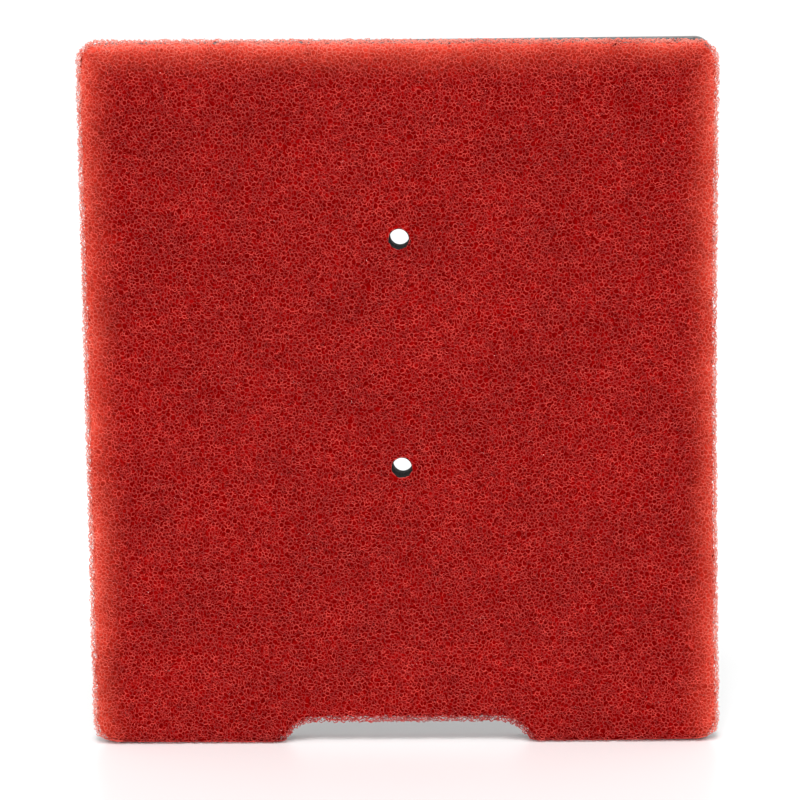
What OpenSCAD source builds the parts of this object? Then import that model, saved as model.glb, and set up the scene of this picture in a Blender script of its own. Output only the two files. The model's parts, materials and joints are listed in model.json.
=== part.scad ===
// Flat two-stage foam air filter element: a coarse red foam face, a fine foam
// layer, a wire screen and a moulded support frame with a rim seal, clamped by
// two screws that pass through spacer sleeves. It stands upright on two feet.
// Millimetres. X is the width, +Z is up, the coarse face looks along -Y.
// The origin is under the middle of the element, at the level of its feet.

/* [Element] */
// Overall width of the coarse foam
element_w = 178; // [150:1:240]
// Overall height, feet included
element_h = 200; // [160:1:260]
// Radius of the four outer corners
corner_r = 6; // [3:0.5:10]
// How far the coarse foam stands past the layers behind it, at the sides and notch
side_margin = 1.5; // [0.5:0.1:2.2]

/* [Notch] */
// Width of the notch between its two sides, at the level of the feet
notch_w = 71.5; // [55:0.5:100]
// Height of the notch above the feet
notch_h = 6.8; // [5:0.1:10]
// Slope of the notch sides, from the horizontal
notch_slope = 60; // [50:1:75]
// Radius where each side runs into the top of the notch
notch_top_r = 10; // [5:0.5:10]
// Radius where each side runs into the foot beside it
notch_mouth_r = 2.5; // [2.3:0.1:3.2]

/* [Layers] */
// Thickness of the coarse foam
coarse_t = 6; // [4:0.5:12]
// Thickness of the fine foam
fine_t = 3; // [2:0.5:10]
// Thickness of the support frame
frame_t = 2; // [1.8:0.1:5]
// Thickness of the wire screen, set into the front of the frame
screen_t = 0.5; // [0.3:0.1:0.8]

/* [Screw sleeves] */
// Bore of each sleeve, a clearance hole for an M5 screw
sleeve_bore = 5.5; // [4.5:0.1:8.5]
// Wall of each sleeve
sleeve_wall = 0.6; // [0.4:0.1:1.5]
// Height of the lower sleeve's axis above the feet
lower_sleeve_z = 80; // [60:1:95]
// Distance between the two sleeve axes
sleeve_spacing = 65; // [40:1:90]
// How far the sleeves stop short of the coarse face
sleeve_recess = 0.6; // [0.2:0.1:2]
// Width of the collar at the back of each sleeve, past its wall
collar_w = 1.6; // [1:0.1:3]
// Thickness of that collar, sunk into the frame
collar_t = 0.8; // [0.5:0.1:1.2]
// Radial clearance round a sleeve in the layers it passes through
sleeve_gap = 0.1; // [0.05:0.05:0.3]

/* [Support frame] */
// Width of the solid rim round the windows
rim_w = 6; // [5:0.5:12]
// Width of each rib between the windows
rib_w = 1.8; // [1.2:0.1:3]
// Number of upright ribs, an odd number so that one joins the sleeve bosses
upright_ribs = 9; // [7:2:13]
// Number of level ribs
level_ribs = 10; // [8:1:14]
// Width of the boss round each sleeve collar
boss_w = 2.4; // [1.5:0.1:4]
// Width of the ledge under the edge of the wire screen
screen_ledge = 2; // [1:0.5:2.5]
// Clearance round the edge of the wire screen
screen_gap = 0.2; // [0.1:0.1:0.4]
// Radius of the corners of the windowed area
window_r = 2; // [1:0.5:4]

/* [Wire screen] */
// Number of openings across the screen
screen_cols = 14; // [8:1:24]
// Number of openings up the screen
screen_rows = 15; // [8:1:28]
// Width of the strands between the openings
strand_w = 0.9; // [0.6:0.1:1.5]
// Width of the flattened border round the screen
screen_border = 2; // [1.5:0.1:4]

/* [Rim seal] */
// Width of the seal
seal_w = 3.2; // [2:0.1:3.6]
// Distance from the edge of the frame to the seal
seal_edge = 1.2; // [0.8:0.1:1.4]
// Depth of the groove that holds the seal
seal_groove = 0.5; // [0.3:0.1:0.8]
// How far the seal stands out of the frame
seal_proud = 0.8; // [0.4:0.1:2]

/* [Hidden] */
$fn = 96;
arc_steps = 10;
overcut = 1;

// Faces of the layers along Y, from the coarse face to the back of the seal
total_t = coarse_t + fine_t + frame_t + seal_proud;
coarse_front = -total_t / 2;
fine_front = coarse_front + coarse_t;
frame_front = fine_front + fine_t;
frame_back = frame_front + frame_t;

// The sleeves, from their front ends to the back of the frame
sleeve_front = coarse_front + sleeve_recess;
sleeve_od = sleeve_bore + 2 * sleeve_wall;
sleeve_hole = sleeve_od + 2 * sleeve_gap;
collar_d = sleeve_od + 2 * collar_w;
collar_hole = collar_d + 2 * sleeve_gap;
boss_d = collar_hole + 2 * boss_w;
upper_sleeve_z = lower_sleeve_z + sleeve_spacing;
sleeve_heights = [lower_sleeve_z, upper_sleeve_z];

// The layers behind the coarse foam are narrower by the margin on both sides
rear_w = element_w - 2 * side_margin;
rear_notch_top = notch_h + side_margin;

// The windowed area of the frame, above the notch
window_w = rear_w - 2 * rim_w;
window_low = rear_notch_top + rim_w;
window_high = element_h - rim_w;
window_h = window_high - window_low;

// The screen covers the windowed area and rests on the ledge round it
screen_w = window_w + 2 * screen_ledge;
screen_low = window_low - screen_ledge;
screen_h = window_h + 2 * screen_ledge;
screen_r = window_r + screen_ledge;

// The seal runs round the rim, above the notch
seal_outer_w = rear_w - 2 * seal_edge;
seal_low = rear_notch_top + seal_edge;
seal_h = element_h - seal_edge - seal_low;
seal_r = corner_r - side_margin;

// A rectangle with round corners, centred on X, with its lower edge at z
module rounded_rect(w, h, z, r) {
  difference() {
    translate([-w / 2, z]) square([w, h]);
    for (side = [0, 1]) mirror([side, 0]) {
      corner_cut(w / 2, z, r, -1);
      corner_cut(w / 2, z + h, r, 1);
    }
  }
}

// What is cut off to round the right-hand corner at x, z; up is 1 at the top
module corner_cut(x, z, r, up) {
  centre_z = z - up * r;
  difference() {
    translate([x - r, up > 0 ? centre_z : centre_z - r - overcut])
      square([r + overcut, r + overcut]);
    translate([x - r, centre_z]) circle(r);
  }
}

// Points of an arc in X and Z round x, z, from one angle to another
function arc(x, z, r, from, to) = [
  for (i = [0 : arc_steps])
    let (angle = from + (to - from) * i / arc_steps)
      [x + r * cos(angle), z + r * sin(angle)]
];

// The right-hand half of the notch, grown by margin on its side and top
function half_notch(margin) =
  let (
    top_r = notch_top_r + margin,
    mouth_r = notch_mouth_r - margin,
    top_z = notch_h + margin,
    foot_x = notch_w / 2 + margin / sin(notch_slope),
    turn = tan(notch_slope / 2),
    top_x = foot_x - top_z / tan(notch_slope) - top_r * turn,
    mouth_x = foot_x + mouth_r * turn
  )
  concat(
    [[mouth_x, -overcut]],
    arc(mouth_x, mouth_r, mouth_r, -90, -90 - notch_slope),
    arc(top_x, top_z - top_r, top_r, 90 - notch_slope, 90)
  );

// The empty space of the notch
module notch_space(margin) {
  right = half_notch(margin);
  left = [for (i = [len(right) - 1 : -1 : 0]) [-right[i][0], right[i][1]]];
  polygon(concat(right, left));
}

// The upright outline of a layer, narrower by margin at its sides and notch
module outline(margin) {
  difference() {
    rounded_rect(element_w - 2 * margin, element_h, 0, corner_r - margin);
    notch_space(margin);
  }
}

// An upright layer from front to front + thickness, drawn in X and Z
module layer(front, thickness) {
  translate([0, front + thickness, 0]) rotate([90, 0, 0])
    linear_extrude(thickness) children();
}

// A round bar or hole along Y at each of the given heights
module round_at(heights, d, front, length) {
  for (z = heights) translate([0, front, z]) rotate([-90, 0, 0]) cylinder(d = d, h = length);
}

// The holes that let the sleeves through a layer
module sleeve_holes(front, thickness) {
  round_at(sleeve_heights, sleeve_hole, front - overcut, thickness + 2 * overcut);
}

module coarse_foam() {
  color([0.72, 0.13, 0.11])
    difference() {
      layer(coarse_front, coarse_t) outline(0);
      sleeve_holes(coarse_front, coarse_t);
    }
}

module fine_foam() {
  color([0.23, 0.23, 0.23])
    difference() {
      layer(fine_front, fine_t) outline(side_margin);
      sleeve_holes(fine_front, fine_t);
    }
}

// The openings of the screen, evenly spread inside its border
module screen_openings() {
  open_w = (screen_w - 2 * screen_border - (screen_cols - 1) * strand_w) / screen_cols;
  open_h = (screen_h - 2 * screen_border - (screen_rows - 1) * strand_w) / screen_rows;
  for (col = [0 : screen_cols - 1])
    for (row = [0 : screen_rows - 1])
      translate([
        -screen_w / 2 + screen_border + col * (open_w + strand_w),
        screen_low + screen_border + row * (open_h + strand_w)
      ]) square([open_w, open_h]);
}

module support_screen() {
  color([0.62, 0.63, 0.64])
    difference() {
      union() {
        layer(frame_front, screen_t) difference() {
          rounded_rect(screen_w, screen_h, screen_low, screen_r);
          screen_openings();
        }
        round_at(sleeve_heights, boss_d, frame_front, screen_t);
      }
      sleeve_holes(frame_front, screen_t);
    }
}

// The upright and level ribs across the windowed area
module ribs() {
  column = (window_w - upright_ribs * rib_w) / (upright_ribs + 1) + rib_w;
  row = (window_h - level_ribs * rib_w) / (level_ribs + 1) + rib_w;
  for (i = [1 : upright_ribs])
    translate([-window_w / 2 + i * column - rib_w, window_low - overcut])
      square([rib_w, window_h + 2 * overcut]);
  for (i = [1 : level_ribs])
    translate([-window_w / 2 - overcut, window_low + i * row - rib_w])
      square([window_w + 2 * overcut, rib_w]);
}

// The open windows between the ribs and the sleeve bosses
module windows() {
  difference() {
    rounded_rect(window_w, window_h, window_low, window_r);
    ribs();
    for (z = sleeve_heights) translate([0, z]) circle(d = boss_d);
  }
}

// The rectangular ring that the seal covers
module seal_ring() {
  difference() {
    rounded_rect(seal_outer_w, seal_h, seal_low, seal_r);
    rounded_rect(
      seal_outer_w - 2 * seal_w, seal_h - 2 * seal_w, seal_low + seal_w, window_r
    );
  }
}

module support_frame() {
  pocket = screen_gap;
  color([0.17, 0.17, 0.18])
    difference() {
      layer(frame_front, frame_t) difference() {
        outline(side_margin);
        windows();
      }
      layer(frame_front - overcut, screen_t + overcut)
        rounded_rect(
          screen_w + 2 * pocket, screen_h + 2 * pocket, screen_low - pocket,
          screen_r + pocket
        );
      layer(frame_back - seal_groove, seal_groove + overcut) seal_ring();
      sleeve_holes(frame_front, frame_t);
      round_at(sleeve_heights, collar_hole, frame_back - collar_t, collar_t + overcut);
    }
}

module rim_seal() {
  color([0.10, 0.10, 0.10])
    layer(frame_back - seal_groove, seal_groove + seal_proud) seal_ring();
}

// A spacer sleeve with a collar at its back end
module sleeve(z) {
  color([0.20, 0.20, 0.20])
    difference() {
      union() {
        round_at([z], sleeve_od, sleeve_front, frame_back - sleeve_front);
        round_at([z], collar_d, frame_back - collar_t, collar_t);
      }
      round_at([z], sleeve_bore, sleeve_front - overcut, total_t + overcut);
    }
}

module upper_sleeve() {
  sleeve(upper_sleeve_z);
}

module lower_sleeve() {
  sleeve(lower_sleeve_z);
}

coarse_foam();
fine_foam();
support_screen();
support_frame();
rim_seal();
upper_sleeve();
lower_sleeve();
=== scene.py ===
"""A flat two-stage foam air filter element, standing on its two feet on a pale studio floor.

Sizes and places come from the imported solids. Lengths are in metres, X is the width, +Z is up
and the coarse red foam looks along -Y. The layers run from front to back: coarse foam, fine
foam, steel wire screen, moulded support frame and rim seal, with two spacer sleeves through
all of them.
"""

import json
import logging
import math
import random
from dataclasses import dataclass, field, replace
from enum import Enum
from typing import Callable, Iterable

import bmesh
import bpy
import numpy as np
from mathutils import Matrix, Vector


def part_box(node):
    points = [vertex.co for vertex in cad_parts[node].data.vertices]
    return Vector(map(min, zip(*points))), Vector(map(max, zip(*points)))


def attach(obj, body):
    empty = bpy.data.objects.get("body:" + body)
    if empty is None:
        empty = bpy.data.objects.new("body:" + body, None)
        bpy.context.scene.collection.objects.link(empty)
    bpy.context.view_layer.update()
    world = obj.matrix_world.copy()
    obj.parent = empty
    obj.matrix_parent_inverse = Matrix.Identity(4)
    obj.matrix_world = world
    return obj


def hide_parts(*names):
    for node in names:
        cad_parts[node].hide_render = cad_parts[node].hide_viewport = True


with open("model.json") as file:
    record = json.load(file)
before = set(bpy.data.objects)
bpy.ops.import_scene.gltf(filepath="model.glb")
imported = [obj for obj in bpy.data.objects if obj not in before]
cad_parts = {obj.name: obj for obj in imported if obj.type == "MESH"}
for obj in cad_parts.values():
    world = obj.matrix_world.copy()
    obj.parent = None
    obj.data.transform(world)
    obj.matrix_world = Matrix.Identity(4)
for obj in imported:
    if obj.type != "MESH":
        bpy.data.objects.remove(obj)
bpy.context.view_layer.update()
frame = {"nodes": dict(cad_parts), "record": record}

BODY = "root"
MM = 0.001
MERGE_WITHIN = 1e-6
FLAT_WITHIN_DEG = 0.5
BAKE_MAP = "OFBake"
MAP_MARGIN = 0.01
# How far a normal has to lean down, or back, for its place to count as a sole or a back.
DOWNWARD = -0.5
BACKWARD = 0.7

Colour = tuple[float, float, float]
Place = tuple[float, float, float]
Span = tuple[float, float]

log = logging.getLogger("filter_element")


class Grid(Enum):
    """Which way a set of screen wires runs."""

    UPRIGHT = "upright"
    LEVEL = "level"


# ---------------------------------------------------------------------------------------------
# Mesh and shader helpers
# ---------------------------------------------------------------------------------------------


class NodeBoard:
    """A material's node tree, with short calls that add and join its nodes."""

    def __init__(self, name: str) -> None:
        """Starts an empty material.

        Args:
            name: The material's name.
        """
        self.material = bpy.data.materials.new(name)
        self.material.use_nodes = True
        self.tree = self.material.node_tree
        self.tree.nodes.clear()

    def add(self, kind: str, inputs: dict | None = None, **settings: object) -> bpy.types.Node:
        """Adds one shader node.

        Args:
            kind: The node's type name without "ShaderNode".
            inputs: Socket name or number to a constant, or to a socket to join it to.
            **settings: Properties of the node itself.

        Returns:
            The new node.
        """
        node = self.tree.nodes.new(f"ShaderNode{kind}")
        for key, value in settings.items():
            setattr(node, key, value)
        for key, value in (inputs or {}).items():
            if isinstance(value, bpy.types.NodeSocket):
                self.tree.links.new(value, node.inputs[key])
            else:
                node.inputs[key].default_value = value
        return node

    def math(self, operation: str, *values: object) -> bpy.types.NodeSocket:
        """Adds a Math node and returns its result socket.

        Args:
            operation: The Math node's operation.
            *values: Its inputs in order, constants or sockets.
        """
        return self.add("Math", dict(enumerate(values)), operation=operation).outputs[0]

    def position(self) -> bpy.types.NodeSocket:
        """Returns the place on the object, in metres, which every piece shares."""
        return self.add("TexCoord").outputs["Object"]

    def noise(self, scale: float, detail: float = 2.0) -> bpy.types.NodeSocket:
        """Returns a soft random value that repeats about scale times a metre.

        Args:
            scale: Waves per metre.
            detail: How many finer octaves are added.
        """
        inputs = {"Vector": self.position(), "Scale": scale, "Detail": detail}
        return self.add("TexNoise", inputs).outputs[0]

    def spread(self, value: bpy.types.NodeSocket, low: float, high: float) -> bpy.types.NodeSocket:
        """Returns value stretched so that low is 0 and high is 1, with soft ends.

        Args:
            value: The socket to stretch.
            low: What becomes 0.
            high: What becomes 1.
        """
        inputs = {"Value": value, 1: low, 2: high, 3: 0.0, 4: 1.0}
        kind = "SMOOTHSTEP"
        return self.add("MapRange", inputs, interpolation_type=kind).outputs[0]

    def mix(self, share: object, first: object, second: object) -> bpy.types.NodeSocket:
        """Returns a colour between first and second.

        Args:
            share: 0 gives first and 1 gives second.
            first: A colour or a colour socket.
            second: A colour or a colour socket.
        """
        values = {0: share, 6: rgba(first), 7: rgba(second)}
        return self.add("Mix", values, data_type="RGBA").outputs[2]

    def bump(self, height: bpy.types.NodeSocket, distance: float) -> bpy.types.NodeSocket:
        """Returns a surface direction tilted by a height pattern.

        Args:
            height: The pattern, from 0 to 1.
            distance: How high 1 stands, in metres.
        """
        inputs = {"Height": height, "Distance": distance, "Strength": 1.0}
        return self.add("Bump", inputs).outputs[0]

    def finish(self, **sockets: object) -> bpy.types.Material:
        """Adds the surface shader and the output.

        Args:
            **sockets: Surface sockets, with "_" for a space in each name.

        Returns:
            The finished material.
        """
        inputs = {name.replace("_", " "): rgba(value) for name, value in sockets.items()}
        surface = self.add("BsdfPrincipled", inputs)
        self.add("OutputMaterial", {"Surface": surface.outputs[0]})
        return self.material


def rgba(value: object) -> object:
    """Returns a colour of three numbers with a fourth, and anything else unchanged."""
    if isinstance(value, tuple) and len(value) == 3:
        return (*value, 1.0)
    return value


def copy_of(node: str) -> bmesh.types.BMesh:
    """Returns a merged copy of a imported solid, with the flat parts of each face joined.

    Args:
        node: The solid's name.
    """
    bm = bmesh.new()
    bm.from_mesh(frame["nodes"][node].data)
    bmesh.ops.remove_doubles(bm, verts=bm.verts, dist=MERGE_WITHIN)
    bmesh.ops.dissolve_limit(
        bm, angle_limit=math.radians(FLAT_WITHIN_DEG), verts=bm.verts, edges=bm.edges,
        use_dissolve_boundaries=False
    )
    bm.normal_update()
    return bm


def soften_edges(bm: bmesh.types.BMesh, radius: float, steps: int, sharp_deg: float = 30.0) -> None:
    """Rounds every sharp edge of a moulded shape.

    Args:
        bm: The shape.
        radius: How far the round reaches from each edge.
        steps: How many faces the round has.
        sharp_deg: The least angle between two faces that is rounded.
    """
    least = math.radians(sharp_deg)
    sharp = [e for e in bm.edges if e.is_manifold and e.calc_face_angle(0.0) > least]
    bmesh.ops.bevel(
        bm, geom=sharp, offset=radius, segments=steps, affect="EDGES", profile=0.5,
        material=-1, clamp_overlap=True
    )


def flat_map(mesh: bpy.types.Mesh, slant: float = 0.4) -> None:
    """Gives a mesh a map drawn from the front, slanted so that no side wall has zero width.

    Args:
        mesh: The mesh.
        slant: How far a step back moves a point across the map.
    """
    count = len(mesh.loops)
    corners = np.zeros(count, np.int32)
    mesh.loops.foreach_get("vertex_index", corners)
    places = np.zeros(len(mesh.vertices) * 3, np.float32)
    mesh.vertices.foreach_get("co", places)
    x, y, z = places.reshape(-1, 3).T
    flat = np.stack([x + slant * y, z + slant * y], axis=1)
    low = flat.min(axis=0)
    flat = MAP_MARGIN + (1.0 - 2.0 * MAP_MARGIN) * (flat - low) / (flat.max(axis=0) - low)
    layer = mesh.uv_layers.new(name=BAKE_MAP)
    layer.data.foreach_set("uv", flat[corners].ravel().astype(np.float32))


def make_piece(
    bm: bmesh.types.BMesh, name: str, material: bpy.types.Material,
    stands_for: Iterable[str] = (), sharp_deg: float = 180.0, mapped: bool = False
) -> bpy.types.Object:
    """Turns a shape into a finished piece that rides on the element.

    Args:
        bm: The shape, in place, which is used up.
        name: The piece's name.
        material: Its material.
        stands_for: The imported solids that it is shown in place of.
        sharp_deg: Edges sharper than this stay crisp.
        mapped: Whether it brings its own map.

    Returns:
        The piece.
    """
    mesh = bpy.data.meshes.new(name)
    bm.to_mesh(mesh)
    bm.free()
    mesh.shade_smooth()
    if sharp_deg < 180.0:
        mesh.set_sharp_from_angle(angle=math.radians(sharp_deg))
    if mapped:
        flat_map(mesh)
    mesh.materials.append(material)
    piece = bpy.data.objects.new(name, mesh)
    bpy.context.scene.collection.objects.link(piece)
    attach(piece, BODY)
    if stands_for:
        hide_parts(*stands_for)
    log.info("%s: %d faces", name, len(mesh.polygons))
    return piece


# ---------------------------------------------------------------------------------------------
# Finishes
# ---------------------------------------------------------------------------------------------


@dataclass(frozen=True)
class CoarseFoamFinish:
    """Red polyurethane foam, with painted glow towards its thin sides and top where light would come
    through, and painted highlight on its paler struts.
    """

    half_width: float
    top: float
    body: Colour
    pale_strut_and_highlight: Colour
    painted_edge_glow: Colour
    painted_tip_glow: Colour
    edge_reach: float
    roughness: float
    smoothest: float
    gloss: float
    edge_fade: float = 2.2
    tip_fade: float = 5.0
    waves_per_metre: float = 70.0
    wave: float = 6 * MM
    streaks_per_metre: float = 620.0
    streak_span: Span = (0.35, 0.7)
    clouds_per_metre: float = 60.0
    cloud_span: Span = (0.3, 0.7)
    cloud_share: float = 0.3
    cloud_shade: float = 0.55
    glints_per_metre: float = 480.0
    glint_span: Span = (0.5, 0.66)

    def material(self, name: str) -> bpy.types.Material:
        """Builds the material.

        Args:
            name: The material's name.

        Returns:
            The material, with painted glow towards the sides and the top.
        """
        board = NodeBoard(name)
        x, _, z = board.add("SeparateXYZ", {0: board.position()}).outputs[:3]
        # Painted glow: the colour turns paler and more orange near the sides and top, standing in for
        # light coming through the thin edges.
        from_side = board.math("SUBTRACT", self.half_width, board.math("ABSOLUTE", x))
        from_top = board.math("SUBTRACT", self.top, z)
        inward = board.math("MINIMUM", from_side, from_top)
        wave = board.math("MULTIPLY", board.noise(self.waves_per_metre), self.wave)
        inward = board.math("SUBTRACT", board.math("ADD", inward, wave), self.wave / 2)
        nearness = board.math("SUBTRACT", 1.0, board.math("DIVIDE", inward, self.edge_reach))
        nearness = board.math("MINIMUM", board.math("MAXIMUM", nearness, 0.0), 1.0)
        painted_glow = board.math("POWER", nearness, self.edge_fade)
        # The paler struts are partly the foam's own uneven tone and partly painted highlight.
        pale_and_highlit_streaks = board.spread(board.noise(self.streaks_per_metre, 1.0), *self.streak_span)
        foam = board.mix(pale_and_highlit_streaks, self.body, self.pale_strut_and_highlight)
        cloud = board.spread(board.noise(self.clouds_per_metre, 4.0), *self.cloud_span)
        cloud = board.math("MULTIPLY", cloud, self.cloud_share)
        foam = board.mix(cloud, foam, tuple(self.cloud_shade * c for c in self.body))
        colour = board.mix(painted_glow, foam, self.painted_edge_glow)
        colour = board.mix(board.math("POWER", painted_glow, self.tip_fade), colour, self.painted_tip_glow)
        shine = board.spread(board.noise(self.glints_per_metre), *self.glint_span)
        roughness = board.math("MULTIPLY_ADD", shine, self.smoothest - self.roughness, self.roughness)
        return board.finish(
            Base_Color=colour, Roughness=roughness, Specular_IOR_Level=self.gloss
        )


@dataclass(frozen=True)
class FineFoamFinish:
    """Grey foam with pores too fine to model one by one."""

    body: Colour
    painted_pore_shade: Colour
    pores_per_metre: float = 1500.0
    pore_span: Span = (0.04, 0.24)
    pore_depth: float = 0.25 * MM
    roughness: float = 0.75
    patches_per_metre: float = 45.0
    patch_span: Span = (0.3, 0.75)
    patch_lift: float = 1.5

    def material(self, name: str) -> bpy.types.Material:
        """Builds the material.

        Args:
            name: The material's name.

        Returns:
            The material, with painted shade in the pores between lighter struts.
        """
        board = NodeBoard(name)
        inputs = {"Vector": board.position(), "Scale": self.pores_per_metre}
        cells = board.add("TexVoronoi", inputs, feature="DISTANCE_TO_EDGE").outputs[0]
        depth = board.spread(cells, *self.pore_span)
        patchy = board.spread(board.noise(self.patches_per_metre), *self.patch_span)
        strut = board.mix(patchy, self.body, tuple(self.patch_lift * c for c in self.body))
        # Painted shade: the pores are darkened in the colour.
        colour = board.mix(depth, strut, self.painted_pore_shade)
        relief = board.bump(board.math("SUBTRACT", 1.0, depth), self.pore_depth)
        return board.finish(Base_Color=colour, Roughness=self.roughness, Normal=relief)


@dataclass(frozen=True)
class MouldedFinish:
    """Moulded plastic with a fine grain, slightly uneven in tone and gloss."""

    colour: Colour
    roughness: float
    grain_per_metre: float = 2600.0
    grain_height: float = 0.02 * MM
    tones_per_metre: float = 38.0
    tone_span: Span = (0.3, 0.7)
    uneven: float = 0.25
    bloom: float = 0.004
    dulls_per_metre: float = 160.0
    dull_span: Span = (0.2, 0.8)
    roughness_swing: float = 0.06
    gloss: float = 0.5

    def material(self, name: str) -> bpy.types.Material:
        """Builds the material.

        Args:
            name: The material's name.

        Returns:
            The material.
        """
        board = NodeBoard(name)
        tone = board.spread(board.noise(self.tones_per_metre, 4.0), *self.tone_span)
        lighter = tuple(c * (1.0 + self.uneven) + self.bloom for c in self.colour)
        darker = tuple(c * (1.0 - self.uneven) for c in self.colour)
        colour = board.mix(tone, darker, lighter)
        dull = board.spread(board.noise(self.dulls_per_metre, 3.0), *self.dull_span)
        smoothest = self.roughness - self.roughness_swing
        roughness = board.math("MULTIPLY_ADD", dull, 2 * self.roughness_swing, smoothest)
        relief = board.bump(board.noise(self.grain_per_metre, 1.0), self.grain_height)
        return board.finish(
            Base_Color=colour, Roughness=roughness, Normal=relief, Specular_IOR_Level=self.gloss
        )


@dataclass(frozen=True)
class WireFinish:
    """Plain steel wire with a faint oily darkening."""

    colour: Colour
    roughness: float
    oil_per_metre: float = 55.0
    oil_span: Span = (0.3, 0.75)
    oily_shade: float = 0.62

    def material(self, name: str) -> bpy.types.Material:
        """Builds the material.

        Args:
            name: The material's name.

        Returns:
            The material.
        """
        board = NodeBoard(name)
        oily = board.spread(board.noise(self.oil_per_metre, 3.0), *self.oil_span)
        colour = board.mix(oily, self.colour, tuple(self.oily_shade * c for c in self.colour))
        return board.finish(Base_Color=colour, Metallic=1.0, Roughness=self.roughness)


@dataclass(frozen=True)
class SpongeFinish:
    """Closed-cell sponge rubber: matte, with pinholes darkened by painted shade, and a dusty bloom.
    """

    colour: Colour
    bloom: Colour
    cells_per_metre: float = 1900.0
    pinhole_span: Span = (0.28, 0.1)
    pinhole_depth: float = 0.08 * MM
    painted_pinhole_shade: float = 0.35
    dust_per_metre: float = 90.0
    dust_span: Span = (0.45, 0.8)
    roughness: float = 0.82

    def material(self, name: str) -> bpy.types.Material:
        """Builds the material.

        Args:
            name: The material's name.

        Returns:
            The material.
        """
        board = NodeBoard(name)
        inputs = {"Vector": board.position(), "Scale": self.cells_per_metre}
        cells = board.add("TexVoronoi", inputs).outputs[0]
        holes = board.spread(cells, *self.pinhole_span)
        dusty = board.spread(board.noise(self.dust_per_metre, 4.0), *self.dust_span)
        skin = board.mix(dusty, self.colour, self.bloom)
        # Painted shade: the pinholes are darkened in the colour.
        colour = board.mix(holes, skin, tuple(self.painted_pinhole_shade * c for c in self.colour))
        relief = board.bump(board.math("SUBTRACT", 1.0, holes), self.pinhole_depth)
        return board.finish(Base_Color=colour, Roughness=self.roughness, Normal=relief)


@dataclass(frozen=True)
class FloorFinish:
    """A pale, faintly polished studio floor."""

    colour: Colour = (0.93, 0.93, 0.93)
    roughness: float = 0.3
    gloss: float = 0.35

    def material(self) -> bpy.types.Material:
        """Returns the floor's material."""
        board = NodeBoard("pale_floor")
        return board.finish(
            Base_Color=self.colour, Roughness=self.roughness, Specular_IOR_Level=self.gloss
        )


# ---------------------------------------------------------------------------------------------
# Foam
# ---------------------------------------------------------------------------------------------


@dataclass(frozen=True)
class Bores:
    """The two screw holes, which every foam layer keeps clear."""

    heights: tuple[float, float]
    screw_radius: float
    radius: float
    front: float
    reach: float = 6 * MM
    cover: float = 0.15 * MM
    lip: float = 1.0 * MM
    lip_share: float = 0.4

    def offset_of(self, point: Vector) -> Vector | None:
        """Returns the point's offset from the nearest bore's axis, or nothing if it is far off.

        Args:
            point: A place on the element.
        """
        for height in self.heights:
            offset = Vector((point.x, 0.0, point.z - height))
            if offset.length < self.reach:
                return offset
        return None

    def set_radius(self, point: Vector, offset: Vector, radius: float) -> Vector:
        """Returns the point, moved straight out from or in to a bore's axis.

        Args:
            point: A place on the element.
            offset: Its offset from the axis.
            radius: How far from the axis it ends up.
        """
        return point + offset.normalized() * (radius - offset.length)

    def form_lip(self, point: Vector) -> Vector:
        """Returns a point of a face net, drawn in over a sleeve's front end if it is near one.

        Args:
            point: A corner of a cell.
        """
        offset = self.offset_of(point)
        if offset is None or point.y > self.front + self.lip or offset.length > self.radius:
            return point
        beyond = max(0.0, offset.length - self.screw_radius)
        radius = self.screw_radius + self.cover + self.lip_share * beyond
        point = self.set_radius(point, offset, radius)
        point.y = min(point.y, self.front - self.cover)
        return point

    def keep_clear(self, point: Vector) -> Vector:
        """Returns the point, moved off a sleeve, and out of its bore, if it is in the way.

        Args:
            point: A place on the foam.
        """
        offset = self.offset_of(point)
        if offset is None:
            return point
        least = self.screw_radius if point.y < self.front else self.radius
        return self.set_radius(point, offset, max(offset.length, least))


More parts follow.
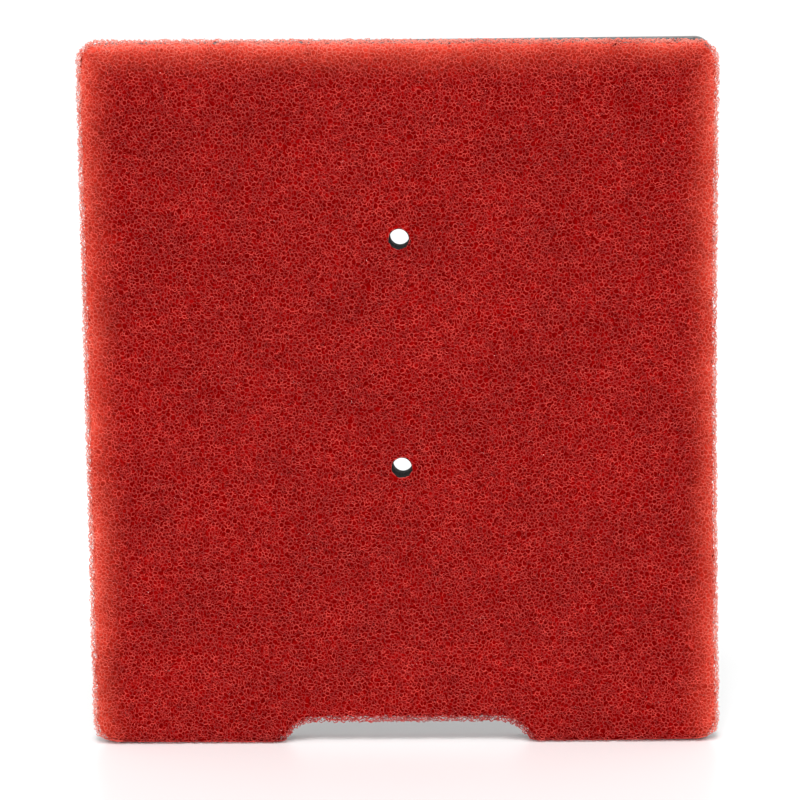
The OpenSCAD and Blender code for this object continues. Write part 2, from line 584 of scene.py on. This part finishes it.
@dataclass(frozen=True)
class CellSheet:
    """A sheet of random cells over the faces of a flat pad, like a slice of open-cell foam."""

    pitch: float
    front_inset: float
    side_inset: float
    seed: int
    wander: float = 0.55
    relax: float = 0.4
    relief: float = 0.0
    side_relief: float = 0.0
    gaps: float = 0.0
    foot_sole: float = 1.0 * MM
    bore_radius: float | None = None

    def cover(
        self, solid: bmesh.types.BMesh, bores: Bores,
        unwanted: Callable[[Vector, Vector], bool] | None = None
    ) -> bmesh.types.BMesh:
        """Lays the cells over a pad.

        Args:
            solid: The pad, which is used up.
            bores: The screw holes to keep clear.
            unwanted: Says, from a place and the way it faces, where no cells are needed.

        Returns:
            A sheet whose faces are the cells.
        """
        self.shrink(solid, bores)
        bm = self.even_grid(solid)
        if unwanted is not None:
            spare = [f for f in bm.faces if unwanted(f.calc_center_median(), f.normal)]
            bmesh.ops.delete(bm, geom=spare, context="FACES")
        self.scatter(bm)
        self.turn_to_cells(bm)
        bmesh.ops.smooth_vert(
            bm, verts=bm.verts, factor=self.relax, use_axis_x=True, use_axis_y=True, use_axis_z=True
        )
        self.break_up(bm)
        self.roughen(bm)
        if self.bore_radius is not None:
            for v in bm.verts:
                v.co = bores.form_lip(v.co)
        return bm

    def shrink(self, solid: bmesh.types.BMesh, bores: Bores) -> None:
        """Moves the flat faces and the edge faces of a pad inwards.

        Args:
            solid: The pad.
            bores: Its screw holes, whose walls stay or take the sheet's own radius.
        """
        lowest = min(v.co.z for v in solid.verts)
        for v in solid.verts:
            facing = math.copysign(1.0, v.normal.y)
            outward = Vector((v.normal.x, 0.0, v.normal.z)).normalized()
            if v.co.z < lowest + self.foot_sole:
                outward.z = 0.0
            offset = bores.offset_of(v.co)
            if offset is None:
                v.co -= outward * self.side_inset
            elif self.bore_radius is not None:
                v.co = bores.set_radius(v.co, offset, self.bore_radius)
            v.co.y -= facing * self.front_inset

    def even_grid(self, solid: bmesh.types.BMesh) -> bmesh.types.BMesh:
        """Rebuilds a solid from faces of one size.

        Args:
            solid: The solid, which is used up.

        Returns:
            The rebuilt surface.
        """
        mesh = bpy.data.meshes.new("solid")
        solid.to_mesh(mesh)
        solid.free()
        holder = bpy.data.objects.new("solid", mesh)
        bpy.context.scene.collection.objects.link(holder)
        rebuild = holder.modifiers.new("rebuild", "REMESH")
        rebuild.mode = "VOXEL"
        rebuild.voxel_size = self.pitch
        graph = bpy.context.evaluated_depsgraph_get()
        even = bpy.data.meshes.new_from_object(holder.evaluated_get(graph))
        bm = bmesh.new()
        bm.from_mesh(even)
        bpy.data.objects.remove(holder)
        bpy.data.meshes.remove(mesh)
        bpy.data.meshes.remove(even)
        bm.normal_update()
        return bm

    def scatter(self, bm: bmesh.types.BMesh) -> None:
        """Moves the grid's points about at random along the surface, then joins them afresh.

        Args:
            bm: The grid.
        """
        draw = random.Random(self.seed)
        reach = self.wander * self.pitch
        for v in bm.verts:
            step = Vector([draw.uniform(-reach, reach) for _ in range(3)])
            v.co += step - v.normal * step.dot(v.normal)
        bmesh.ops.triangulate(bm, faces=bm.faces)
        bmesh.ops.beautify_fill(bm, faces=bm.faces, edges=bm.edges)

    def turn_to_cells(self, bm: bmesh.types.BMesh) -> None:
        """Turns each point of a triangle grid into one many-sided cell.

        Args:
            bm: The grid.
        """
        centres = [v for v in bm.verts if not v.is_boundary]
        sides = [e for e in bm.edges if not e.is_boundary]
        bmesh.ops.poke(bm, faces=list(bm.faces))
        bmesh.ops.rotate_edges(bm, edges=sides, use_ccw=True)
        bmesh.ops.dissolve_verts(bm, verts=centres)
        bm.normal_update()

    def break_up(self, bm: bmesh.types.BMesh) -> None:
        """Joins some neighbouring cells, and never takes two sides from one corner.

        Args:
            bm: The sheet of cells.
        """
        draw = random.Random(self.seed + 1)
        used: set[bmesh.types.BMVert] = set()
        dropped = []
        for e in bm.edges:
            free = e.is_manifold and used.isdisjoint(e.verts)
            if draw.random() < self.gaps and free:
                dropped.append(e)
                used.update(e.verts)
        bmesh.ops.dissolve_edges(bm, edges=dropped, use_verts=False)
        bm.normal_update()

    def roughen(self, bm: bmesh.types.BMesh) -> None:
        """Sinks each corner of the cells by a random depth.

        Args:
            bm: The sheet of cells.
        """
        draw = random.Random(self.seed + 2)
        lowest = min(v.co.z for v in bm.verts)
        for v in bm.verts:
            deepest = self.side_relief + (self.relief - self.side_relief) * abs(v.normal.y)
            if v.co.z > lowest + self.foot_sole or v.normal.z > DOWNWARD:
                v.co -= v.normal * draw.uniform(0.0, deepest)


@dataclass(frozen=True)
class HandCut:
    """How far a pad that was cut by hand differs from its true outline."""

    half_width: float
    height: float
    top_left_rise: float = 0.8 * MM
    top_right_rise: float = -0.8 * MM
    right_hollow: float = 0.7 * MM
    foot_lift: float = 0.5 * MM
    foot_inner: float = 38 * MM
    notch_shift: float = 0.8 * MM
    notch_drop: float = 0.5 * MM
    low_share: float = 0.15
    top_power: int = 3
    foot_power: int = 2
    notch_power: int = 4
    hollow_power: int = 6

    def bend(self, point: Vector) -> Vector:
        """Returns where a point of the true pad lies on the real one.

        Args:
            point: A place on the true pad.
        """
        across = point.x / self.half_width
        up = min(max(point.z / self.height, 0.0), 1.0)
        slope = (self.top_right_rise - self.top_left_rise) / 2
        middle = (self.top_right_rise + self.top_left_rise) / 2
        rise = (middle + slope * across) * up ** self.top_power
        outward = max(0.0, (abs(point.x) - self.foot_inner) / (self.half_width - self.foot_inner))
        low = max(0.0, 1.0 - up / self.low_share)
        rise += self.foot_lift * outward ** self.foot_power * low
        over_notch = max(0.0, 1.0 - (point.x / self.foot_inner) ** self.notch_power)
        rise -= self.notch_drop * low * over_notch
        inward = self.right_hollow * math.sin(math.pi * up)
        side = self.notch_shift * low * max(0.0, 1.0 - across ** 2) ** 2
        side -= inward * max(across, 0.0) ** self.hollow_power
        return point + Vector((side, 0.0, rise))


@dataclass(frozen=True)
class Layer:
    """One net of struts in the coarse foam."""

    name: str
    pitch: float
    front_inset: float
    side_inset: float
    side_relief: float


@dataclass
class CoarseFoam:
    """The red face pad: nets of struts over a solid core painted a darker red as shade, with loose
    nets along its edges.
    """

    bores: Bores
    node: str = "coarse_foam"
    strut: float = 0.21 * MM
    relief: float = 0.8 * MM
    gaps: float = 0.12
    layers: tuple[Layer, ...] = (
        Layer("face", 1.0 * MM, -0.1 * MM, -0.75 * MM, 1.4 * MM),
        Layer("middle", 1.3 * MM, 0.6 * MM, 0.0 * MM, 1.5 * MM),
    )
    core_pitch: float = 1.32 * MM
    core_front: float = 1.4 * MM
    core_side: float = 0.3 * MM
    core_ragged: float = 1.0 * MM
    core_lip: float = 2.0 * MM
    core_funnel: float = 4.4 * MM
    toe_lift: float = 0.7 * MM
    toe_depth: float = 2.8 * MM
    toe_height: float = 2.5 * MM
    spill: float = 0.8 * MM
    hidden_margin: float = 3.0 * MM
    notch_top: float = 8 * MM
    net_seed: int = 10
    core_seed: int = 77

    def __post_init__(self) -> None:
        """Reads the pad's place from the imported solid."""
        self.low, self.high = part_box(self.node)
        self.cut = HandCut(self.high.x, self.high.z)

    def build(self) -> None:
        """Builds the nets and the core and makes them pieces."""
        finish = CoarseFoamFinish(
            half_width=self.high.x, top=self.high.z, body=(0.45, 0.012, 0.011),
            pale_strut_and_highlight=(0.80, 0.058, 0.044), painted_edge_glow=(0.95, 0.16, 0.10), painted_tip_glow=(0.98, 0.32, 0.25),
            edge_reach=12 * MM, roughness=0.5, smoothest=0.14, gloss=0.5
        )
        struts = finish.material("red_foam_struts")
        for number, layer in enumerate(self.layers):
            net = self.net(layer, seed=self.net_seed * number)
            stands_for = [self.node] if number == 0 else []
            piece = make_piece(
                net, f"coarse_foam_{layer.name}", struts, stands_for, mapped=True
            )
        # Painted shade: the core is coloured a darker red than the struts for the foam deep in the
        # pores, and it keeps the painted edge glow.
        shaded_depth_finish = replace(
            finish, body=(0.29, 0.0008, 0.0008), pale_strut_and_highlight=(0.42, 0.003, 0.003),
            painted_edge_glow=(0.90, 0.08, 0.045), painted_tip_glow=(0.92, 0.14, 0.09), roughness=0.9, smoothest=0.9, gloss=0.0
        )
        core = make_piece(
            self.core(), "coarse_foam_core", shaded_depth_finish.material("red_foam_painted_depth_shade"), mapped=True
        )

    def net(self, layer: Layer, seed: int) -> bmesh.types.BMesh:
        """Builds one net of struts.

        Args:
            layer: Where it lies.
            seed: Starts its random cells.

        Returns:
            The net, open where the fine foam hides it.
        """
        sheet = CellSheet(
            layer.pitch, layer.front_inset, layer.side_inset, seed, relief=self.relief,
            side_relief=layer.side_relief, gaps=self.gaps,
            bore_radius=self.bores.screw_radius
        )
        bm = sheet.cover(copy_of(self.node), self.bores, self.is_hidden)
        bmesh.ops.wireframe(
            bm, faces=list(bm.faces), thickness=self.strut, offset=0.0, use_replace=True,
            use_boundary=True, use_even_offset=False
        )
        self.settle(bm)
        return bm

    def core(self) -> bmesh.types.BMesh:
        """Returns the solid red heart of the pad."""
        sheet = CellSheet(
            self.core_pitch, self.core_front, self.core_side, self.core_seed, relief=self.relief,
            side_relief=self.core_ragged, bore_radius=self.bores.screw_radius
        )
        funnel = replace(self.bores, lip=self.core_lip, radius=self.core_funnel)
        bm = sheet.cover(copy_of(self.node), funnel)
        self.settle(bm)
        return bm

    def is_hidden(self, place: Vector, facing: Vector) -> bool:
        """Says whether a cell lies against the fine foam, away from the edges.

        Args:
            place: The cell's middle.
            facing: The way it faces.
        """
        margin = self.hidden_margin
        level = self.notch_top + margin < place.z < self.high.z - margin
        return facing.y > BACKWARD and abs(place.x) < self.high.x - margin and level

    def settle(self, bm: bmesh.types.BMesh) -> None:
        """Keeps the foam out of its bores and off the floor, and gives it its cut shape.

        Args:
            bm: A part of the foam.
        """
        widest = self.high.x + self.spill
        front = self.low.y - self.spill
        for v in bm.verts:
            place = self.cut.bend(self.bores.keep_clear(v.co))
            place.z += self.toe_rise(place)
            place.x = min(max(place.x, -widest), widest)
            place.y = min(max(place.y, front), self.high.y)
            place.z = max(place.z, self.low.z)
            v.co = place

    def toe_rise(self, place: Vector) -> float:
        """Returns how far a point of a foot's lower front edge stands off the floor.

        Args:
            place: A place on the foam.
        """
        ahead = 1.0 - max(place.y - self.low.y, 0.0) / self.toe_depth
        near = 1.0 - max(place.z - self.low.z, 0.0) / self.toe_height
        return self.toe_lift * max(ahead, 0.0) * max(near, 0.0)


@dataclass
class FineFoam:
    """The grey second stage, a pad of cells with finer pores drawn on them as painted shade and
    bumps.
    """

    bores: Bores
    node: str = "fine_foam"
    pitch: float = 1.5 * MM
    relief: float = 0.3 * MM
    seed: int = 5

    def build(self) -> None:
        """Builds the pad and makes it a piece."""
        low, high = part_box(self.node)
        sheet = CellSheet(
            self.pitch, front_inset=0.0, side_inset=0.0, seed=self.seed, relief=self.relief,
            side_relief=self.relief
        )
        bm = sheet.cover(copy_of(self.node), self.bores)
        for v in bm.verts:
            place = self.bores.keep_clear(v.co)
            place.y = min(max(place.y, low.y), high.y)
            place.z = max(place.z, low.z)
            v.co = place
        finish = FineFoamFinish(body=(0.19, 0.186, 0.182), painted_pore_shade=(0.035, 0.034, 0.034))
        material = finish.material("grey_foam")
        piece = make_piece(bm, "fine_foam_pad", material, [self.node], mapped=True)


# ---------------------------------------------------------------------------------------------
# Screen, frame, seal and sleeves
# ---------------------------------------------------------------------------------------------


@dataclass
class WireScreen:
    """Crossed steel wires behind the foam, with a flat ring round each sleeve.

    The wires aren't woven: each keeps to one side of the screen and bends only out and back
    there. So the mesh is 1.2 mm deep and reaches 0.35 mm into the fine foam and the frame. A
    plain weave would be half as deep. The ring's thickness is a share of the screen's.
    """

    bores: Bores
    node: str = "support_screen"
    wire: float = 0.3 * MM
    opening: float = 2.2 * MM
    sides: int = 4
    eyelet_radius: float = 7.0 * MM
    eyelet_overlap: float = 1.2 * MM
    eyelet_thickness: float = 0.8
    eyelet_sides: int = 48
    border: float = 1.8 * MM

    def __post_init__(self) -> None:
        """Reads the screen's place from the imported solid."""
        self.low, self.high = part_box(self.node)
        self.middle = (self.low + self.high) / 2
        self.size = self.high - self.low

    def build(self) -> None:
        """Builds the mesh of wires and makes it a piece."""
        bm = bmesh.new()
        for grid in Grid:
            self.weave(bm, grid)
        self.clear_sleeves(bm)
        self.add_border(bm)
        for height in self.bores.heights:
            self.add_eyelet(bm, height)
        bmesh.ops.recalc_face_normals(bm, faces=bm.faces)
        finish = WireFinish((0.55, 0.55, 0.54), 0.34)
        make_piece(
            bm, "woven_wire_screen", finish.material("steel_wire"), [self.node],
            sharp_deg=60.0
        )

    def weave(self, bm: bmesh.types.BMesh, grid: Grid) -> None:
        """Adds all the wires that run one way.

        Args:
            bm: The screen so far.
            grid: The way they run.
        """
        step = self.opening + self.wire
        length, width = self.size.z, self.size.x
        turn = Matrix.Identity(4)
        aside = Vector((1, 0, 0))
        if grid is Grid.LEVEL:
            length, width = width, length
            turn = Matrix.Rotation(math.pi / 2, 4, "Y")
            aside = Vector((0, 0, 1))
        wires = int(width / step)
        for first in (0, 1):
            over = 1 if (first == 0) == (grid is Grid.UPRIGHT) else -1
            wire = self.wavy_wire(int(length / step), step, over)
            for number in range(first, wires, 2):
                across = (number - (wires - 1) / 2) * step
                place = Matrix.Translation(self.middle + aside * across) @ turn
                wire.transform(place)
                bm.from_mesh(wire)
                wire.transform(place.inverted())
            bpy.data.meshes.remove(wire)

    def wavy_wire(self, bends: int, step: float, over: int) -> bpy.types.Mesh:
        """Builds one wavy wire along Z, centred on the origin.

        Args:
            bends: How many crossing wires it passes.
            step: The distance between two of them.
            over: 1 if it lies on the +Y side of the screen's middle, and -1 if not.

        Returns:
            The wire.
        """
        bm = bmesh.new()
        rise = self.wire / 2
        start = Matrix.Translation((0, over * rise, -bends / 2 * step))
        made = bmesh.ops.create_circle(
            bm, cap_ends=True, segments=self.sides, radius=self.wire / 2, matrix=start
        )["verts"]
        face = made[0].link_faces[0]
        for bend in range(bends + 1):
            grown = bmesh.ops.extrude_face_region(bm, geom=[face])["geom"]
            ring = [g for g in grown if isinstance(g, bmesh.types.BMVert)]
            face = next(g for g in grown if isinstance(g, bmesh.types.BMFace))
            at_end = bend in (0, bends)
            side = over if bend % 2 else -over
            sway = 0.0 if at_end else 2 * rise * side
            along = step / 2 if at_end else step
            bmesh.ops.translate(bm, verts=ring, vec=Vector((0, sway, along)))
        wire = bpy.data.meshes.new("wire")
        bm.to_mesh(wire)
        bm.free()
        return wire

    def clear_sleeves(self, bm: bmesh.types.BMesh) -> None:
        """Cuts the wires away round each sleeve and closes their ends.

        Args:
            bm: The screen so far.
        """
        reach = self.eyelet_radius - self.eyelet_overlap
        inside = []
        for v in bm.verts:
            for height in self.bores.heights:
                if math.hypot(v.co.x, v.co.z - height) < reach:
                    inside.append(v)
        bmesh.ops.delete(bm, geom=inside, context="VERTS")
        bmesh.ops.holes_fill(bm, edges=[e for e in bm.edges if e.is_boundary], sides=self.sides)

    def add_border(self, bm: bmesh.types.BMesh) -> None:
        """Adds the flattened strip round the edge of the screen.

        Args:
            bm: The screen so far.
        """
        outer = Matrix.Translation(self.middle) @ Matrix.Rotation(math.pi / 2, 4, "X")
        size = Matrix.Diagonal((self.size.x, self.size.z, 1.0, 1.0))
        made = bmesh.ops.create_grid(bm, x_segments=1, y_segments=1, size=0.5, matrix=outer @ size)
        face = made["verts"][0].link_faces[0]
        bmesh.ops.inset_region(bm, faces=[face], thickness=self.border, use_even_offset=True)
        ring = [f for v in made["verts"] for f in v.link_faces]
        bmesh.ops.delete(bm, geom=[face], context="FACES_ONLY")
        strip = list(dict.fromkeys(f for f in ring if f.is_valid))
        bmesh.ops.solidify(bm, geom=strip, thickness=self.wire)

    def add_eyelet(self, bm: bmesh.types.BMesh, height: float) -> None:
        """Adds the flat ring that a sleeve passes through.

        Args:
            bm: The screen so far.
            height: The height of the sleeve's axis.
        """
        thickness = self.eyelet_thickness * self.size.y
        place = Matrix.Translation((0, self.middle.y - thickness / 2, height))
        made = bmesh.ops.create_circle(
            bm, cap_ends=False, segments=self.eyelet_sides, radius=self.eyelet_radius,
            matrix=place @ Matrix.Rotation(-math.pi / 2, 4, "X")
        )["verts"]
        edges = list({e for v in made for e in v.link_edges})
        inner = bmesh.ops.extrude_edge_only(bm, edges=edges)["geom"]
        ring = [g for g in inner if isinstance(g, bmesh.types.BMVert)]
        shrink = self.bores.radius / self.eyelet_radius
        centre = Vector((0, 0, height))
        bmesh.ops.scale(bm, verts=ring, vec=(shrink, 1, shrink), space=Matrix.Translation(-centre))
        flat = [g for g in inner if isinstance(g, bmesh.types.BMFace)]
        thick = bmesh.ops.extrude_face_region(bm, geom=flat, use_keep_orig=True)["geom"]
        back = [g for g in thick if isinstance(g, bmesh.types.BMVert)]
        bmesh.ops.translate(bm, verts=back, vec=(0, thickness, 0))


@dataclass
class SupportFrame:
    """The moulded plastic frame, with its rim, ribs and sleeve bosses."""

    node: str = "support_frame"
    edge_radius: float = 0.22 * MM

    def build(self) -> None:
        """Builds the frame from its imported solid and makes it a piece."""
        bm = copy_of(self.node)
        soften_edges(bm, self.edge_radius, steps=2)
        finish = MouldedFinish((0.26, 0.255, 0.25), 0.3)
        make_piece(
            bm, "moulded_support_frame", finish.material("grey_moulding"), [self.node],
            sharp_deg=40.0
        )


@dataclass
class RimSeal:
    """The sponge rubber strip in the frame's groove."""

    node: str = "rim_seal"
    edge_radius: float = 0.5 * MM

    def build(self) -> None:
        """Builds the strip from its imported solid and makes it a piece."""
        bm = copy_of(self.node)
        soften_edges(bm, self.edge_radius, steps=4)
        finish = SpongeFinish((0.017, 0.017, 0.017), (0.045, 0.044, 0.042))
        make_piece(
            bm, "rim_seal_strip", finish.material("sponge_rubber"), [self.node],
            sharp_deg=50.0
        )


@dataclass
class SpacerSleeves:
    """The two dark sleeves that carry the clamping screws."""

    nodes: tuple[str, str] = ("upper_sleeve", "lower_sleeve")
    edge_radius: float = 0.12 * MM
    foam_gap: float = 0.7 * MM
    bores: Bores = field(init=False)

    def __post_init__(self) -> None:
        """Reads both sleeves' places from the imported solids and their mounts."""
        boxes = [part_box(node) for node in self.nodes]
        heights = tuple((low.z + high.z) / 2 for low, high in boxes)
        mounts = {mount["name"]: mount for mount in frame["record"]["mounts"]}
        screw = mounts["upper_screw_hole"]["dims"]["r_mm"] * MM
        self.bores = Bores(heights, screw, screw + self.foam_gap, boxes[0][0].y)

    def build(self) -> None:
        """Builds both sleeves and makes them pieces."""
        finish = MouldedFinish((0.010, 0.011, 0.010), 0.75, uneven=0.35, gloss=0.2)
        nylon = finish.material("dark_nylon")
        for node in self.nodes:
            bm = copy_of(node)
            soften_edges(bm, self.edge_radius, steps=2)
            make_piece(bm, f"{node}_tube", nylon, [node], sharp_deg=40.0)


# ---------------------------------------------------------------------------------------------
# Studio
# ---------------------------------------------------------------------------------------------


@dataclass(frozen=True)
class Lamp:
    """A far lamp in front of the element."""

    name: str
    strength: float
    spread_deg: float
    height_deg: float

    def hang(self) -> None:
        """Adds the lamp to the scene."""
        data = bpy.data.lights.new(self.name, "SUN")
        data.energy = self.strength
        data.angle = math.radians(self.spread_deg)
        lamp = bpy.data.objects.new(self.name, data)
        lamp.rotation_euler = (math.radians(90.0 - self.height_deg), 0.0, 0.0)
        bpy.context.scene.collection.objects.link(lamp)


@dataclass
class Studio:
    """The floor, the light and the camera."""

    distance: float = 1.069
    azimuth_deg: float = 1.9
    elevation_deg: float = 9.45
    roll_deg: float = -0.78
    look_at: Place = (-0.00047, 0.0, 0.09845)
    sensor: float = 36.0
    lens: float = 170.0
    nearest: float = 0.05
    farthest: float = 60.0
    floor_size: float = 14.0
    floor_squares: int = 4
    sky: float = 0.7
    lamps: tuple[Lamp, ...] = (
        Lamp("key", 1.9, 25.0, 56.0),
        Lamp("spark", 0.7, 2.5, 54.0),
    )

    def build(self) -> None:
        """Builds everything that isn't part of the element."""
        self.lay_floor()
        self.light()
        self.aim_camera()

    def lay_floor(self) -> None:
        """Adds the floor that the element stands on."""
        bm = bmesh.new()
        bmesh.ops.create_grid(
            bm, x_segments=self.floor_squares, y_segments=self.floor_squares,
            size=self.floor_size / 2
        )
        mesh = bpy.data.meshes.new("floor")
        bm.to_mesh(mesh)
        bm.free()
        mesh.materials.append(FloorFinish().material())
        floor = bpy.data.objects.new("floor", mesh)
        bpy.context.scene.collection.objects.link(floor)

    def light(self) -> None:
        """Adds an even white sky and the lamps above the camera."""
        world = bpy.data.worlds.new("studio")
        world.use_nodes = True
        sky = world.node_tree.nodes["Background"]
        sky.inputs[0].default_value = (1.0, 1.0, 1.0, 1.0)
        sky.inputs[1].default_value = self.sky
        bpy.context.scene.world = world
        for lamp in self.lamps:
            lamp.hang()
        bpy.context.scene.view_settings.view_transform = "Standard"

    def aim_camera(self) -> None:
        """Adds the camera and makes it the scene's own."""
        azimuth = math.radians(self.azimuth_deg)
        elevation = math.radians(self.elevation_deg)
        back = Vector((
            math.sin(azimuth) * math.cos(elevation),
            -math.cos(azimuth) * math.cos(elevation),
            math.sin(elevation),
        ))
        data = bpy.data.cameras.new("camera")
        data.sensor_width = self.sensor
        data.lens = self.lens
        data.clip_start = self.nearest
        data.clip_end = self.farthest
        camera = bpy.data.objects.new("camera", data)
        turn = back.to_track_quat("Z", "Y").to_matrix().to_4x4()
        roll = Matrix.Rotation(math.radians(self.roll_deg), 4, "Z")
        place = Matrix.Translation(Vector(self.look_at) + back * self.distance)
        camera.matrix_world = place @ turn @ roll
        bpy.context.scene.collection.objects.link(camera)
        bpy.context.scene.camera = camera


def main() -> None:
    """Builds the element from front to back, then the studio round it."""
    logging.basicConfig(level=logging.INFO, format="%(message)s")
    Studio().build()
    sleeves = SpacerSleeves()
    CoarseFoam(sleeves.bores).build()
    FineFoam(sleeves.bores).build()
    WireScreen(sleeves.bores).build()
    SupportFrame().build()
    RimSeal().build()
    sleeves.build()


if __name__ == "__main__":
    main()
